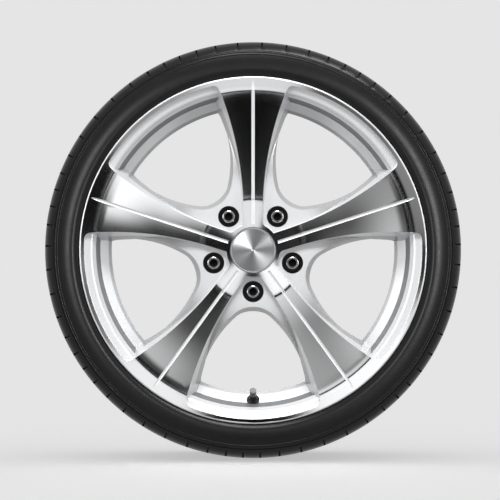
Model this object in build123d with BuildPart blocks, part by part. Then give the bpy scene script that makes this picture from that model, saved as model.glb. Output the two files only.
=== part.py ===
from build123d import *
import os
from math import asin, atan2, cos, degrees, hypot, radians, sin, sqrt, tan

# A low-profile car tyre on its five-spoke alloy wheel, with wheel bolts, centre cap and snap-in valve.
# Millimetres. The origin is the wheel's centre, the axle runs along Y and the outboard face looks along -Y.
# A profile's first number is the radius from the axle, its second the place along the axle.

# Rim
SEAT_R = 254.0
RIM_WIDTH = 228.6
FLANGE_HEIGHT = 17.3
FLANGE_DEPTH = 11.7
FLANGE_CURL_R = 9.5
FLANGE_NOSE = 2.7
HEEL_R = 6.5
SEAT_WIDTH = 20.0
SEAT_TAPER = 5.0
HUMP_HEIGHT = 1.2
HUMP_WIDTH = 9.0
WELL_DEPTH = 21.5
WELL_WIDTH = 38.0
RIM_WALL = 6.0
BARREL_DROP = 5.5
BARREL_TAPER_DROP = 2.5
BARREL_RISE = 36.0
BARREL_SHIFT = 2.0
MOUTH_DROP = 8.0
MOUTH_LIP_RISE = 2.0
MOUTH_TAPER = 10.7

# Turned front face
LIP_WIDTH = 22.3
LIP_CROWN = 0.5
LIP_TILT = 4.0
LIP_BLEND_R = 60.0
HUB_RECESS = 22.0
HUB_EDGE_R = 80.0
HUB_TILT = 2.4
HUB_BLEND_R = 150.0
SPOKE_START_TILT = 3.5

# Spokes, pockets and windows
SPOKES = 5
STRIP_HALF = 15.3
STRIP_KNEE_R = 60.0
SPOKE_END_HALF = 56.5
POCKET_LIP = 7.3
POCKET_TIP_R = 42.0
POCKET_CORNER_R = 9.0
POCKET_TIP_CORNER_R = 8.0
POCKET_DRAFT = 11.0
POCKET_LEAST_ROUND = 1.0
PAD_DEPTH = 7.0
PAD_R = 80.0
DOME_MARGIN = 26.5
DOME_END_DEPTH = 4.0
LEDGE_DEPTH = 5.2
LEDGE_TILT = 15.0
LEDGE_ROLL_R = 7.0
STEP_DROP = 25.3
STEP_DRAFT = 5.5
STEP_TOP_DEPTH = 20.0
STEP_TOP_RUN = 5.0
WINDOW_TIP_R = 96.0
WINDOW_TIP_ROUND = 40.0
WINDOW_TIP_ANGLE = 49.0
WINDOW_SIDE_MARGIN = 15.5
WINDOW_SIDE_ANGLE = 22.06
WINDOW_DRAFT = 15.0
SPOKE_BACK_DEPTH = 56.0
SPOKE_BACK_DROP = 4.0
BACK_ROUND = 14.0
WELL_ROUND = 4.0
WELL_SLOPE_SETBACK = 2.0
WELL_SLOPE_OVERRUN = 5.0
GROOVE_HALF = 2.5
GROOVE_TOOL_R = 3.2
GROOVE_START_R = 41.0
GROOVE_END = 5.3
HOLLOW_START_R = 110.0
HOLLOW_MARGIN = 14.5
HOLLOW_START_HALF = 17.0
HOLLOW_END_HALF = 35.0
HOLLOW_ROOF = 14.0
HOLLOW_DRAFT = 8.0
HOLLOW_CORNER_R = 9.0

# Hub
OFFSET = 45.0
HUB_R = 80.0
HUB_FOOT_R = 100.0
HUB_SLOPE_RUN = 4.0
HUB_SLOPE_HEIGHT = 6.0
HUB_BORE_R = 35.8
HUB_BORE_LENGTH = 20.0
BORE_CHAMFER = 1.5
CLIP_BORE_R = 31.0
CLIP_BORE_LENGTH = 15.5
CLIP_RELIEF_R = 34.0
CAP_RECESS_R = 36.2
CAP_RECESS_DEPTH = 6.3

# Wheel bolts, M14 with loose ball-seat collars
BOLT_CIRCLE_R = 65.0
LUG_HOLE_R = 16.75
BOLT_HOLE_R = 7.6
BOLT_R = 7.0
BOLT_WAIST_R = 6.2
THREAD_START = 1.0
SEAT_CONE_R = 12.6
SEAT_CONE_ANGLE = 30.0
SEAT_THICKNESS = 14.0
COLLAR_R = 15.9
COLLAR_HEIGHT = 8.5
COLLAR_BORE_R = 8.5
SEAT_CLEARANCE = 0.1
BOLT_FLANGE_R = 12.0
BOLT_FLANGE_HEIGHT = 4.0
BOLT_HEX = 19.0
BOLT_HEX_HEIGHT = 14.5
BOLT_HEX_CHAMFER = 1.8
BOLT_DIMPLE_R = 6.3
BOLT_DIMPLE_DEPTH = 5.0
BOLT_LENGTH = 28.0
BOLT_POINT = 1.5

# Centre cap
CAP_GAP = 1.2
CAP_SEAT_CLEARANCE = 0.15
CAP_PROUD = 0.3
CAP_CHAMFER = 0.8
CAP_THICKNESS = 2.6
CAP_CROWN = 2.4
DISC_R = 32.8
DISC_THICKNESS = 1.0
DISC_CLEARANCE = 0.1
DISC_SINK = 0.3
LEG_COUNT = 6
LEG_THICKNESS = 2.2
LEG_CLEARANCE = 0.25
LEG_SLOT = 9.0
LEG_BARB = 1.3
LEG_BARB_LENGTH = 4.0
WIRE_R = 0.9
WIRE_OPENING = 25.0

# Tyre
SECTION_HEIGHT = 76.5
SECTION_HALF_WIDTH = 130.0
BEAD_CLEARANCE = 0.2
BEAD_LIFT_ANGLE = 70.0
BULGE_HEIGHT = 30.5
SHOULDER_HEIGHT = 58.0
SHOULDER_DROP = 7.6
SHOULDER_TILT = 35.0
SHOULDER_FACETS = 4
SHOULDER_WIDTH = 34.0
CROWN_HALF_WIDTH = 67.0
CROWN_DROP = 4.2
TREAD_THICKNESS = 16.5
SIDEWALL_THICKNESS = 9.5
BEAD_WIDTH = 19.5
BEAD_HEIGHT = 20.0
GROOVE_PLACES = (24.0, 60.0)
TREAD_GROOVE_WIDTH = 10.0
TREAD_GROOVE_DEPTH = 7.5
TREAD_GROOVE_TAPER = 1.5
SLOT_COUNT = 62
SLOT_WIDTH = 2.8
SLOT_DEPTH = 6.5
SLOT_INNER_PLACE = 74.0
PITCH_WAVES = 7
PITCH_SWING = 0.19
PITCH_PHASE = 117.0
RIDGE_HEIGHTS = (51.5, 55.0)
RIDGE_WIDTH = 1.6
RIDGE_PROUD = 0.7

# Valve, snap-in, in the front slope of the well at the bottom of the rim
VALVE_TILT = 40.0
VALVE_RISE = 10.0
VALVE_HOLE_R = 5.75
VALVE_SPOT_R = 10.8
VALVE_SPOT_DEPTH = 0.5
VALVE_HOLE_REACH = 18.0
VALVE_SPOT_REACH = 30.0
VALVE_CLEARANCE = 0.15
VALVE_FLANGE_R = 9.8
VALVE_FLANGE_HEIGHT = 3.0
VALVE_SHOULDER_R = 7.0
VALVE_SHOULDER_HEIGHT = 6.0
VALVE_NECK_R = 4.9
VALVE_RUBBER_HEIGHT = 13.0
VALVE_BULB_R = 7.8
VALVE_BULB_LENGTH = 12.0
VALVE_BULB_END_R = 5.6
BOND_CLEARANCE = 0.05
STEM_INSERT_R = 3.0
STEM_THREAD_R = 3.85
STEM_THREAD_LENGTH = 10.0
STEM_BORE_R = 2.4
CORE_R = 2.3
CORE_LENGTH = 12.0
CORE_SINK = 1.0
CORE_WALL = 0.6
CORE_END_WALL = 1.0
CORE_BORE_R = 0.7
PIN_R = 0.6
PIN_COLLAR_R = 1.5
PIN_COLLAR_HEIGHT = 0.8
PIN_CUP_R = 1.7
PIN_CUP_HEIGHT = 1.8
PIN_CUP_GAP = 0.05
PIN_END_SINK = 0.3
SPRING_WIRE_R = 0.18
SPRING_MEAN_R = 1.2
SPRING_TURNS = 6
VALVE_CAP_R = 5.2
VALVE_CAP_ROOF = 1.6
VALVE_CAP_FIT = 0.15
VALVE_CAP_LIFT = 0.4
VALVE_CAP_RIBS = 14
VALVE_CAP_RIB_R = 0.5
VALVE_CAP_ROUND = 1.2
CAP_SEAL_THICKNESS = 1.0
CAP_SEAL_GAP = 0.1

# How far the cutters run past the faces they open
CUT_BEFORE = 6.0
CUT_BEHIND = 10.0
CUT_OVERLAP = 1.0

# Places worked out from the sizes above
half_step = 180 / SPOKES
flange_face = RIM_WIDTH / 2
lip_y = -(flange_face + FLANGE_DEPTH)
flange_r = SEAT_R + FLANGE_HEIGHT
curl_r = flange_r - FLANGE_CURL_R
curl_y = flange_face + FLANGE_CURL_R
hub_y = lip_y + HUB_RECESS
well_r = SEAT_R - WELL_DEPTH
well_inner_r = well_r - RIM_WALL
step_r = flange_r - STEP_DROP
step_foot_r = step_r - STEP_DRAFT
dome_r = well_inner_r - DOME_MARGIN
window_along = well_inner_r - WINDOW_SIDE_MARGIN
window_half = window_along * tan(radians(WINDOW_SIDE_ANGLE))
hollow_end_r = well_inner_r - HOLLOW_MARGIN
valve_r = well_inner_r + VALVE_RISE
back_y = lip_y + SPOKE_BACK_DEPTH
pad_y = hub_y + PAD_DEPTH
mount_y = -OFFSET


def spin(count, start=0.0):
    """Turns about the axle, one for each of an even ring of copies."""
    return [Location((0, 0, 0), (0, start + 360 * i / count, 0)) for i in range(count)]


def across(y):
    """A plane square to the axle, facing inboard, with its local X pointing down at the valve's window."""
    return Plane(origin=(0, y, 0), x_dir=(0, 0, -1), z_dir=(0, 1, 0))


def arc_middle(centre, radius, angle):
    """A point on a circle in a profile, its angle measured from the radial direction."""
    return (centre[0] + radius * cos(radians(angle)), centre[1] + radius * sin(radians(angle)))


def slope_y(r, depth=0.0):
    """The well's front slope, square to the valve, at a radius and a depth below its visible side."""
    run = r - well_inner_r - depth * sin(radians(VALVE_TILT))
    return back_y + WELL_SLOPE_SETBACK - run * tan(radians(VALVE_TILT)) + depth * cos(radians(VALVE_TILT))


# Turned face: hub cone, hollow arc along the spokes, rolled lip
lip_start = (flange_r - LIP_WIDTH, lip_y - LIP_CROWN)
lip_end = (flange_r - FLANGE_NOSE, lip_start[1] + (LIP_WIDTH - FLANGE_NOSE) * tan(radians(LIP_TILT)))
hub_start = (CAP_RECESS_R, hub_y - (HUB_EDGE_R - CAP_RECESS_R) * tan(radians(HUB_TILT)))
hub_edge = (HUB_EDGE_R, hub_y)
spoke_tangent = (cos(radians(SPOKE_START_TILT)), -sin(radians(SPOKE_START_TILT)))
cap_floor_y = hub_start[1] + CAP_RECESS_DEPTH
clip_end_y = cap_floor_y + CLIP_BORE_LENGTH
hub_bore_y = mount_y - HUB_BORE_LENGTH

# Bead seats and humps, the same on both sides
seat_end = (SEAT_R - (SEAT_WIDTH - HEEL_R) * tan(radians(SEAT_TAPER)), flange_face - SEAT_WIDTH)
hump_top = (seat_end[0] + HUMP_HEIGHT, seat_end[1] - HUMP_WIDTH / 2)
hump_end = (seat_end[0] - HUMP_HEIGHT, seat_end[1] - HUMP_WIDTH)
heel_centre = (SEAT_R + HEEL_R, flange_face - HEEL_R)
slope_top = (hump_end[0], slope_y(hump_end[0], RIM_WALL))
well_front = (well_r, slope_y(well_r, RIM_WALL))
well_back = (well_r, well_front[1] + WELL_WIDTH)
barrel_start = (SEAT_R - BARREL_DROP - BARREL_TAPER_DROP, well_back[1] + BARREL_RISE)
barrel_end = (SEAT_R - BARREL_DROP, hump_end[1] - HUMP_WIDTH / 2)


def other_side(point):
    """The same place on the outboard side of a profile."""
    return (point[0], -point[1])


def pocket_face(y):
    """The painted pocket's outline at one depth, drafted so that its edge on the turned face is as stated."""
    hub_grow = (hub_y - y) * tan(radians(POCKET_DRAFT))
    lip_grow = (lip_y - y) * tan(radians(POCKET_DRAFT))
    strip = STRIP_HALF - hub_grow
    tip_r = POCKET_TIP_R - hub_grow
    outer_r = flange_r - POCKET_LIP + lip_grow
    end_half = SPOKE_END_HALF - lip_grow

    def beside_spoke(along, half):
        turn = radians(half_step)
        return (along * cos(turn) + half * sin(turn), along * sin(turn) - half * cos(turn))

    tip = beside_spoke(sqrt(tip_r**2 - strip**2), strip)
    knee = beside_spoke(STRIP_KNEE_R, strip)
    end = beside_spoke(sqrt(outer_r**2 - end_half**2), end_half)
    spoke_way = (cos(radians(half_step)), sin(radians(half_step)))
    with BuildSketch(across(y)) as outline:
        with BuildLine():
            Line(tip, knee)
            TangentArc(knee, end, tangent=spoke_way)
            ThreePointArc(end, (outer_r, 0), other_side(end))
            TangentArc(other_side(knee), other_side(end), tangent=other_side(spoke_way))
            Line(other_side(knee), other_side(tip))
            ThreePointArc(other_side(tip), (tip_r, 0), tip)
        make_face()
        corners = outline.vertices().sort_by_distance(across(y).from_local_coords((0, 0)))
        fillet(corners[:2], max(POCKET_TIP_CORNER_R + hub_grow, POCKET_LEAST_ROUND))
        corners = outline.vertices().sort_by_distance(across(y).from_local_coords((0, 0)))
        fillet(corners[-2:], max(POCKET_CORNER_R + lip_grow, POCKET_LEAST_ROUND))
    return outline.sketch


def window_face(y):
    """The through window's outline at one depth, opening towards the front."""
    grow = (back_y - y) * tan(radians(WINDOW_DRAFT))
    turn = radians(WINDOW_TIP_ANGLE)
    round_r = WINDOW_TIP_ROUND + grow
    centre = WINDOW_TIP_R + WINDOW_TIP_ROUND
    joint = (centre - round_r * sin(turn), round_r * cos(turn))
    true_joint = (centre - WINDOW_TIP_ROUND * sin(turn), WINDOW_TIP_ROUND * cos(turn))
    rise = window_half - true_joint[1]
    run = window_along - true_joint[0]
    end_turn = radians(2 * degrees(asin(rise / sqrt(rise**2 + run**2))) - WINDOW_TIP_ANGLE)
    end = (window_along - grow * sin(end_turn), window_half + grow * cos(end_turn))
    way = (cos(turn), sin(turn))
    with BuildSketch(across(y)) as outline:
        with BuildLine():
            TangentArc(joint, end, tangent=way)
            Line(end, other_side(end))
            TangentArc(other_side(joint), other_side(end), tangent=other_side(way))
            ThreePointArc(other_side(joint), (centre - round_r, 0), joint)
        make_face()
    return outline.sketch


# Pocket cutter: the drafted outline, kept in front of the lug pads, the dome, the well slope and the ledge
front_y = lip_y - CUT_BEFORE
deep_y = back_y + CUT_BEHIND
ledge_inner_r = step_r + STEP_TOP_RUN
ledge_outer_r = flange_r + CUT_BEHIND
ledge_run = flange_r - POCKET_LIP - ledge_inner_r
ledge_inner = (ledge_inner_r, lip_y + LEDGE_DEPTH + ledge_run * tan(radians(LEDGE_TILT)))
ledge_outer = (ledge_outer_r, ledge_inner[1] - (ledge_outer_r - ledge_inner_r) * tan(radians(LEDGE_TILT)))
slope_start_r = well_inner_r - WELL_SLOPE_OVERRUN
dome_end_y = back_y + DOME_END_DEPTH

with BuildPart() as pocket_cutter:
    loft([pocket_face(front_y).face(), pocket_face(deep_y).face()], ruled=True)
    with BuildSketch(Plane.XY) as in_front:
        with BuildLine():
            Line((0, front_y), (0, pad_y))
            Line((0, pad_y), (PAD_R, pad_y))
            TangentArc((PAD_R, pad_y), (dome_r, dome_end_y), tangent=(1, 0))
            Polyline(
                (dome_r, dome_end_y),
                (dome_r, deep_y),
                (slope_start_r - WELL_SLOPE_OVERRUN, deep_y),
                (slope_start_r, slope_y(slope_start_r)),
                (step_foot_r, slope_y(step_foot_r)),
                (step_r, lip_y + STEP_TOP_DEPTH),
                ledge_inner,
                ledge_outer,
                (ledge_outer_r, front_y),
                (0, front_y),
            )
        make_face()
        fillet(in_front.vertices().sort_by_distance((*ledge_inner, 0))[0], LEDGE_ROLL_R)
    revolve(axis=Axis.Y, mode=Mode.INTERSECT)

# Window cutter: the flared outline, kept behind the dome
window_top_y = pad_y - CUT_OVERLAP
window_end_r = dome_r + CUT_OVERLAP

with BuildPart() as window_cutter:
    loft([window_face(deep_y).face(), window_face(front_y).face()], ruled=True)
    with BuildSketch(Plane.XY):
        with BuildLine():
            TangentArc((PAD_R, window_top_y), (window_end_r, dome_end_y), tangent=(1, 0))
            Polyline(
                (window_end_r, dome_end_y),
                (window_end_r, deep_y),
                (PAD_R, deep_y),
                (PAD_R, window_top_y),
            )
        make_face()
    revolve(axis=Axis.Y, mode=Mode.INTERSECT)

# Groove cutter: a round tool run along one spoke's turned face, running out to a point on the lip
groove_lift = sqrt(GROOVE_TOOL_R**2 - GROOVE_HALF**2)
groove_start_y = hub_y - (HUB_EDGE_R - GROOVE_START_R) * tan(radians(HUB_TILT)) - groove_lift
groove_end_r = flange_r - GROOVE_END
groove_end_y = lip_start[1] + (groove_end_r - lip_start[0]) * tan(radians(LIP_TILT)) - groove_lift

with BuildPart() as groove_cutter:
    with BuildLine(Plane.YZ) as hub_run:
        Line((groove_start_y, GROOVE_START_R), (hub_y - groove_lift, HUB_EDGE_R))
    with BuildSketch(Plane(hub_run.line @ 0, z_dir=hub_run.line % 0)):
        Circle(GROOVE_TOOL_R)
    sweep(path=hub_run.line)
    with BuildLine(Plane.YZ) as spoke_run:
        TangentArc(
            (hub_y - groove_lift, HUB_EDGE_R),
            (lip_start[1] - groove_lift, lip_start[0]),
            tangent=(spoke_tangent[1], spoke_tangent[0]),
        )
    with BuildSketch(Plane(spoke_run.line @ 0, z_dir=spoke_run.line % 0)):
        Circle(GROOVE_TOOL_R)
    sweep(path=spoke_run.line)
    with BuildLine(Plane.YZ) as lip_run:
        Line((lip_start[1] - groove_lift, lip_start[0]), (groove_end_y, groove_end_r))
    with BuildSketch(Plane(lip_run.line @ 0, z_dir=lip_run.line % 0)) as full_round:
        Circle(GROOVE_TOOL_R)
    with BuildSketch(Plane(lip_run.line @ 1, z_dir=lip_run.line % 1)) as run_out:
        Circle(groove_lift)
    loft([full_round.sketch.face(), run_out.sketch.face()])

# Lug hole cutter: wide bore down to the seat, cone, bolt hole
seat_foot_y = mount_y - SEAT_THICKNESS
seat_top_y = seat_foot_y - (SEAT_CONE_R - BOLT_HOLE_R) / tan(radians(SEAT_CONE_ANGLE))
bolt_axis = Axis((0, 0, -BOLT_CIRCLE_R), (0, 1, 0))
bolt_plane = Plane(origin=(0, 0, -BOLT_CIRCLE_R), x_dir=(1, 0, 0), z_dir=(0, 0, 1))

with BuildPart() as lug_hole_cutter:
    with BuildSketch(bolt_plane):
        with BuildLine():
            Polyline(
                (0, front_y),
                (LUG_HOLE_R, front_y),
                (LUG_HOLE_R, seat_top_y),
                (SEAT_CONE_R, seat_top_y),
                (BOLT_HOLE_R, seat_foot_y),
                (BOLT_HOLE_R, mount_y + CUT_OVERLAP),
                (0, mount_y + CUT_OVERLAP),
                (0, front_y),
            )
        make_face()
    revolve(axis=bolt_axis)

# Hollow cutter: the hollow in the back of each spoke, one wall behind the turned face
with BuildPart() as hollow_cutter:
    with BuildSketch(across(back_y + CUT_OVERLAP)) as hollow_mouth:
        Polygon(
            (-HOLLOW_START_R, -HOLLOW_START_HALF),
            (-hollow_end_r, -HOLLOW_END_HALF),
            (-hollow_end_r, HOLLOW_END_HALF),
            (-HOLLOW_START_R, HOLLOW_START_HALF),
            align=None,
        )
        fillet(hollow_mouth.vertices(), HOLLOW_CORNER_R)
    extrude(amount=lip_y - back_y - CUT_OVERLAP, taper=HOLLOW_DRAFT)
    with BuildSketch(Plane.XY):
        with BuildLine():
            TangentArc(
                (HUB_EDGE_R, hub_y + HOLLOW_ROOF),
                (lip_start[0], lip_start[1] + HOLLOW_ROOF),
                tangent=spoke_tangent,
            )
            Polyline(
                (lip_start[0], lip_start[1] + HOLLOW_ROOF),
                (lip_start[0], back_y + CUT_BEHIND),
                (HUB_EDGE_R, back_y + CUT_BEHIND),
                (HUB_EDGE_R, hub_y + HOLLOW_ROOF),
            )
        make_face()
    revolve(axis=Axis.Y, mode=Mode.INTERSECT)

# Valve place: square to the well's front slope, at the bottom of the rim
valve_way = (0, -cos(radians(VALVE_TILT)), sin(radians(VALVE_TILT)))
slope_point = Vector(0, slope_y(valve_r), -valve_r)
valve_seat = slope_point - Vector(valve_way) * VALVE_SPOT_DEPTH
valve_axis = Axis(valve_seat, valve_way)
valve_side = (0, -sin(radians(VALVE_TILT)), -cos(radians(VALVE_TILT)))
valve_plane = Plane(valve_seat, x_dir=(1, 0, 0), z_dir=valve_side)
valve_wall = RIM_WALL - VALVE_SPOT_DEPTH

with BuildPart() as valve_hole_cutter:
    with BuildSketch(valve_plane):
        with BuildLine():
            Polyline(
                (0, -VALVE_HOLE_REACH),
                (VALVE_HOLE_R, -VALVE_HOLE_REACH),
                (VALVE_HOLE_R, 0),
                (VALVE_SPOT_R, 0),
                (VALVE_SPOT_R, VALVE_SPOT_REACH),
                (0, VALVE_SPOT_REACH),
                (0, -VALVE_HOLE_REACH),
            )
        make_face()
    revolve(axis=valve_axis)

os.makedirs("parts", exist_ok=True)

# Alloy wheel: rim, disc and hub turned as one profile, then the pockets, windows, holes and grooves cut
with BuildPart() as alloy_wheel:
    with BuildSketch(Plane.XY) as wheel_section:
        with BuildLine():
            Line(hub_start, hub_edge)
            TangentArc(hub_edge, lip_start, tangent=spoke_tangent)
            Line(lip_start, lip_end)
            lip_way = (cos(radians(LIP_TILT)), sin(radians(LIP_TILT)))
            TangentArc(lip_end, (flange_r, -curl_y), tangent=lip_way)
            for side in (-1, 1):
                curl = (curl_r, side * curl_y)
                heel = (heel_centre[0], side * heel_centre[1])
                ThreePointArc(
                    (flange_r, side * curl_y),
                    arc_middle(curl, FLANGE_CURL_R, -45 * side),
                    (curl_r, side * flange_face),
                )
                Line((curl_r, side * flange_face), (heel_centre[0], side * flange_face))
                ThreePointArc(
                    (heel_centre[0], side * flange_face),
                    arc_middle(heel, HEEL_R, 180 - 45 * side),
                    (SEAT_R, side * heel_centre[1]),
                )
                Line((SEAT_R, side * heel_centre[1]), (seat_end[0], side * seat_end[1]))
                ThreePointArc(
                    (seat_end[0], side * seat_end[1]),
                    (hump_top[0], side * hump_top[1]),
                    (hump_end[0], side * hump_end[1]),
                )
            Polyline(
                other_side(hump_end),
                slope_top,
                well_front,
                well_back,
                barrel_start,
                barrel_end,
                hump_end,
            )
            Polyline(
                (flange_r, curl_y),
                (flange_r - FLANGE_NOSE, -lip_y),
                (SEAT_R + MOUTH_LIP_RISE, -lip_y),
                (SEAT_R - MOUTH_DROP, -lip_y - MOUTH_TAPER),
                (SEAT_R - MOUTH_DROP, seat_end[1]),
                (barrel_end[0] - RIM_WALL, barrel_end[1]),
                (barrel_start[0] - RIM_WALL, barrel_start[1] + BARREL_SHIFT),
                (well_inner_r, well_back[1] + BARREL_SHIFT),
                (well_inner_r, back_y),
                (HUB_FOOT_R, back_y - SPOKE_BACK_DROP),
                (HUB_R + HUB_SLOPE_RUN, mount_y - HUB_SLOPE_HEIGHT),
                (HUB_R, mount_y),
                (HUB_BORE_R + BORE_CHAMFER, mount_y),
                (HUB_BORE_R, mount_y - BORE_CHAMFER),
                (HUB_BORE_R, hub_bore_y),
                (CLIP_RELIEF_R, hub_bore_y),
                (CLIP_RELIEF_R, clip_end_y),
                (CLIP_BORE_R, clip_end_y),
                (CLIP_BORE_R, cap_floor_y),
                (CAP_RECESS_R, cap_floor_y),
                hub_start,
            )
        make_face()
        for place, radius in (
            (hub_edge, HUB_BLEND_R),
            (lip_start, LIP_BLEND_R),
            ((well_inner_r, back_y), BACK_ROUND),
            ((HUB_FOOT_R, back_y - SPOKE_BACK_DROP), BACK_ROUND),
            (well_front, WELL_ROUND),
            (well_back, BACK_ROUND),
        ):
            fillet(wheel_section.vertices().sort_by_distance((*place, 0))[0], radius)
    revolve(axis=Axis.Y)
    with Locations(*spin(SPOKES)):
        add(pocket_cutter.part, mode=Mode.SUBTRACT)
        add(window_cutter.part, mode=Mode.SUBTRACT)
        add(groove_cutter.part, mode=Mode.SUBTRACT)
        add(lug_hole_cutter.part, mode=Mode.SUBTRACT)
        add(hollow_cutter.part, mode=Mode.SUBTRACT)
    add(valve_hole_cutter.part, mode=Mode.SUBTRACT)

alloy_wheel.part.label = "alloy_wheel"
export_step(alloy_wheel.part, "parts/alloy_wheel.step")

# Bolt seat collars: loose rings between the bolt heads and the cones of the lug holes
collar_drop = SEAT_CLEARANCE / sin(radians(SEAT_CONE_ANGLE))
collar_base_y = seat_top_y - collar_drop
collar_top_y = collar_base_y - COLLAR_HEIGHT
collar_foot_y = collar_base_y + (SEAT_CONE_R - COLLAR_BORE_R) / tan(radians(SEAT_CONE_ANGLE))

with BuildPart() as collar:
    with BuildSketch(bolt_plane):
        with BuildLine():
            Polyline(
                (COLLAR_BORE_R, collar_top_y),
                (COLLAR_R, collar_top_y),
                (COLLAR_R, collar_base_y),
                (SEAT_CONE_R, collar_base_y),
                (COLLAR_BORE_R, collar_foot_y),
                (COLLAR_BORE_R, collar_top_y),
            )
        make_face()
    revolve(axis=bolt_axis)

with BuildPart() as lug_bolt_seats:
    with Locations(*spin(SPOKES)):
        add(collar.part)

lug_bolt_seats.part.label = "lug_bolt_seats"
export_step(lug_bolt_seats.part, "parts/lug_bolt_seats.step")

# Wheel bolts: hexagon head with a hollow end, round flange, neck through the collar, plain waist
# through the wheel, and a threaded shank behind the mounting face
flange_foot_y = collar_top_y - SEAT_CLEARANCE
flange_top_y = flange_foot_y - BOLT_FLANGE_HEIGHT
head_y = flange_top_y - BOLT_HEX_HEIGHT
thread_y = mount_y + THREAD_START
bolt_end_y = mount_y + BOLT_LENGTH
hex_corner_r = BOLT_HEX / sqrt(3) + SEAT_CLEARANCE
neck_r = COLLAR_BORE_R - SEAT_CLEARANCE

with BuildPart() as bolt:
    with BuildSketch(across(head_y)):
        with Locations((BOLT_CIRCLE_R, 0)):
            RegularPolygon(BOLT_HEX / 2, 6, major_radius=False)
    extrude(amount=BOLT_HEX_HEIGHT)
    with BuildSketch(bolt_plane):
        with BuildLine():
            Polyline(
                (BOLT_DIMPLE_R, head_y),
                (BOLT_HEX / 2, head_y),
                (hex_corner_r, head_y + BOLT_HEX_CHAMFER),
                (hex_corner_r, flange_top_y),
                (0, flange_top_y),
                (0, head_y + BOLT_DIMPLE_DEPTH),
                (BOLT_DIMPLE_R / 2, head_y + BOLT_DIMPLE_DEPTH),
                (BOLT_DIMPLE_R, head_y),
            )
        make_face()
    revolve(axis=bolt_axis, mode=Mode.INTERSECT)
    with BuildSketch(bolt_plane):
        with BuildLine():
            Polyline(
                (0, flange_top_y),
                (BOLT_FLANGE_R, flange_top_y),
                (BOLT_FLANGE_R, flange_foot_y),
                (neck_r, flange_foot_y),
                (neck_r, collar_foot_y),
                (BOLT_WAIST_R, collar_foot_y + BOLT_POINT),
                (BOLT_WAIST_R, thread_y - THREAD_START),
                (BOLT_R, thread_y),
                (BOLT_R, bolt_end_y - BOLT_POINT),
                (BOLT_R - BOLT_POINT, bolt_end_y),
                (0, bolt_end_y),
                (0, flange_top_y),
            )
        make_face()
    revolve(axis=bolt_axis)

with BuildPart() as lug_bolts:
    with Locations(*spin(SPOKES)):
        add(bolt.part)

lug_bolts.part.label = "lug_bolts"
export_step(lug_bolts.part, "parts/lug_bolts.step")

# Centre cap: moulded cover with six sprung legs that catch behind the clip bore
cap_r = CAP_RECESS_R - CAP_GAP
cap_rim_y = hub_start[1] - CAP_PROUD
cap_back_y = cap_floor_y - CAP_SEAT_CLEARANCE
disc_edge_y = cap_rim_y + DISC_SINK
disc_crown_y = cap_rim_y - CAP_CROWN
disc_bed = DISC_THICKNESS + DISC_CLEARANCE
cap_inside_y = disc_edge_y + disc_bed + CAP_THICKNESS
leg_r = CLIP_BORE_R - LEG_CLEARANCE
leg_inner_r = leg_r - LEG_THICKNESS
barb_y = clip_end_y + LEG_CLEARANCE
leg_end_y = barb_y + LEG_BARB_LENGTH


def dome_middle(edge_r, shift):
    """A point half way along the spun disc's domed front, moved inboard by a distance."""
    rise = disc_edge_y - disc_crown_y
    radius = (edge_r**2 + rise**2) / (2 * rise)
    return (edge_r / 2, disc_crown_y + shift + radius - sqrt(radius**2 - (edge_r / 2) ** 2))


with BuildPart() as centre_cap:
    with BuildSketch(Plane.XY):
        with BuildLine():
            bed_r = DISC_R + DISC_CLEARANCE
            ThreePointArc(
                (0, disc_crown_y + disc_bed),
                dome_middle(bed_r, disc_bed),
                (bed_r, disc_edge_y + disc_bed),
            )
            Polyline(
                (bed_r, disc_edge_y + disc_bed),
                (bed_r, cap_rim_y),
                (cap_r - CAP_CHAMFER, cap_rim_y),
                (cap_r, cap_rim_y + CAP_CHAMFER),
                (cap_r, cap_back_y),
                (leg_r, cap_back_y),
                (leg_r, barb_y),
                (leg_r + LEG_BARB, barb_y + LEG_BARB / 2),
                (leg_r, leg_end_y),
                (leg_inner_r, leg_end_y),
                (leg_inner_r, cap_inside_y),
                (0, cap_inside_y),
                (0, disc_crown_y + disc_bed),
            )
        make_face()
    revolve(axis=Axis.Y)
    with BuildSketch(across(cap_back_y + LEG_CLEARANCE)):
        with PolarLocations(0, LEG_COUNT // 2, angular_range=180):
            Rectangle(2 * cap_r, LEG_SLOT)
    extrude(amount=leg_end_y - cap_back_y, mode=Mode.SUBTRACT)

centre_cap.part.label = "centre_cap"
export_step(centre_cap.part, "parts/centre_cap.step")

# Spun metal disc, inlaid in the cap
with BuildPart() as centre_cap_disc:
    with BuildSketch(Plane.XY):
        with BuildLine():
            ThreePointArc((0, disc_crown_y), dome_middle(DISC_R, 0), (DISC_R, disc_edge_y))
            Line((DISC_R, disc_edge_y), (DISC_R, disc_edge_y + DISC_THICKNESS))
            ThreePointArc(
                (DISC_R, disc_edge_y + DISC_THICKNESS),
                dome_middle(DISC_R, DISC_THICKNESS),
                (0, disc_crown_y + DISC_THICKNESS),
            )
            Line((0, disc_crown_y + DISC_THICKNESS), (0, disc_crown_y))
        make_face()
    revolve(axis=Axis.Y)

centre_cap_disc.part.label = "centre_cap_disc"
export_step(centre_cap_disc.part, "parts/centre_cap_disc.step")

# Spring wire that spreads the cap's legs, open at one place
wire_ring_r = leg_inner_r - WIRE_R - DISC_CLEARANCE

with BuildPart() as centre_cap_ring:
    with BuildSketch(Plane.XY):
        with Locations((wire_ring_r, barb_y)):
            Circle(WIRE_R)
    revolve(axis=Axis.Y, revolution_arc=360 - WIRE_OPENING)

centre_cap_ring.part.label = "centre_cap_ring"
export_step(centre_cap_ring.part, "parts/centre_cap_ring.step")

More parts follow.
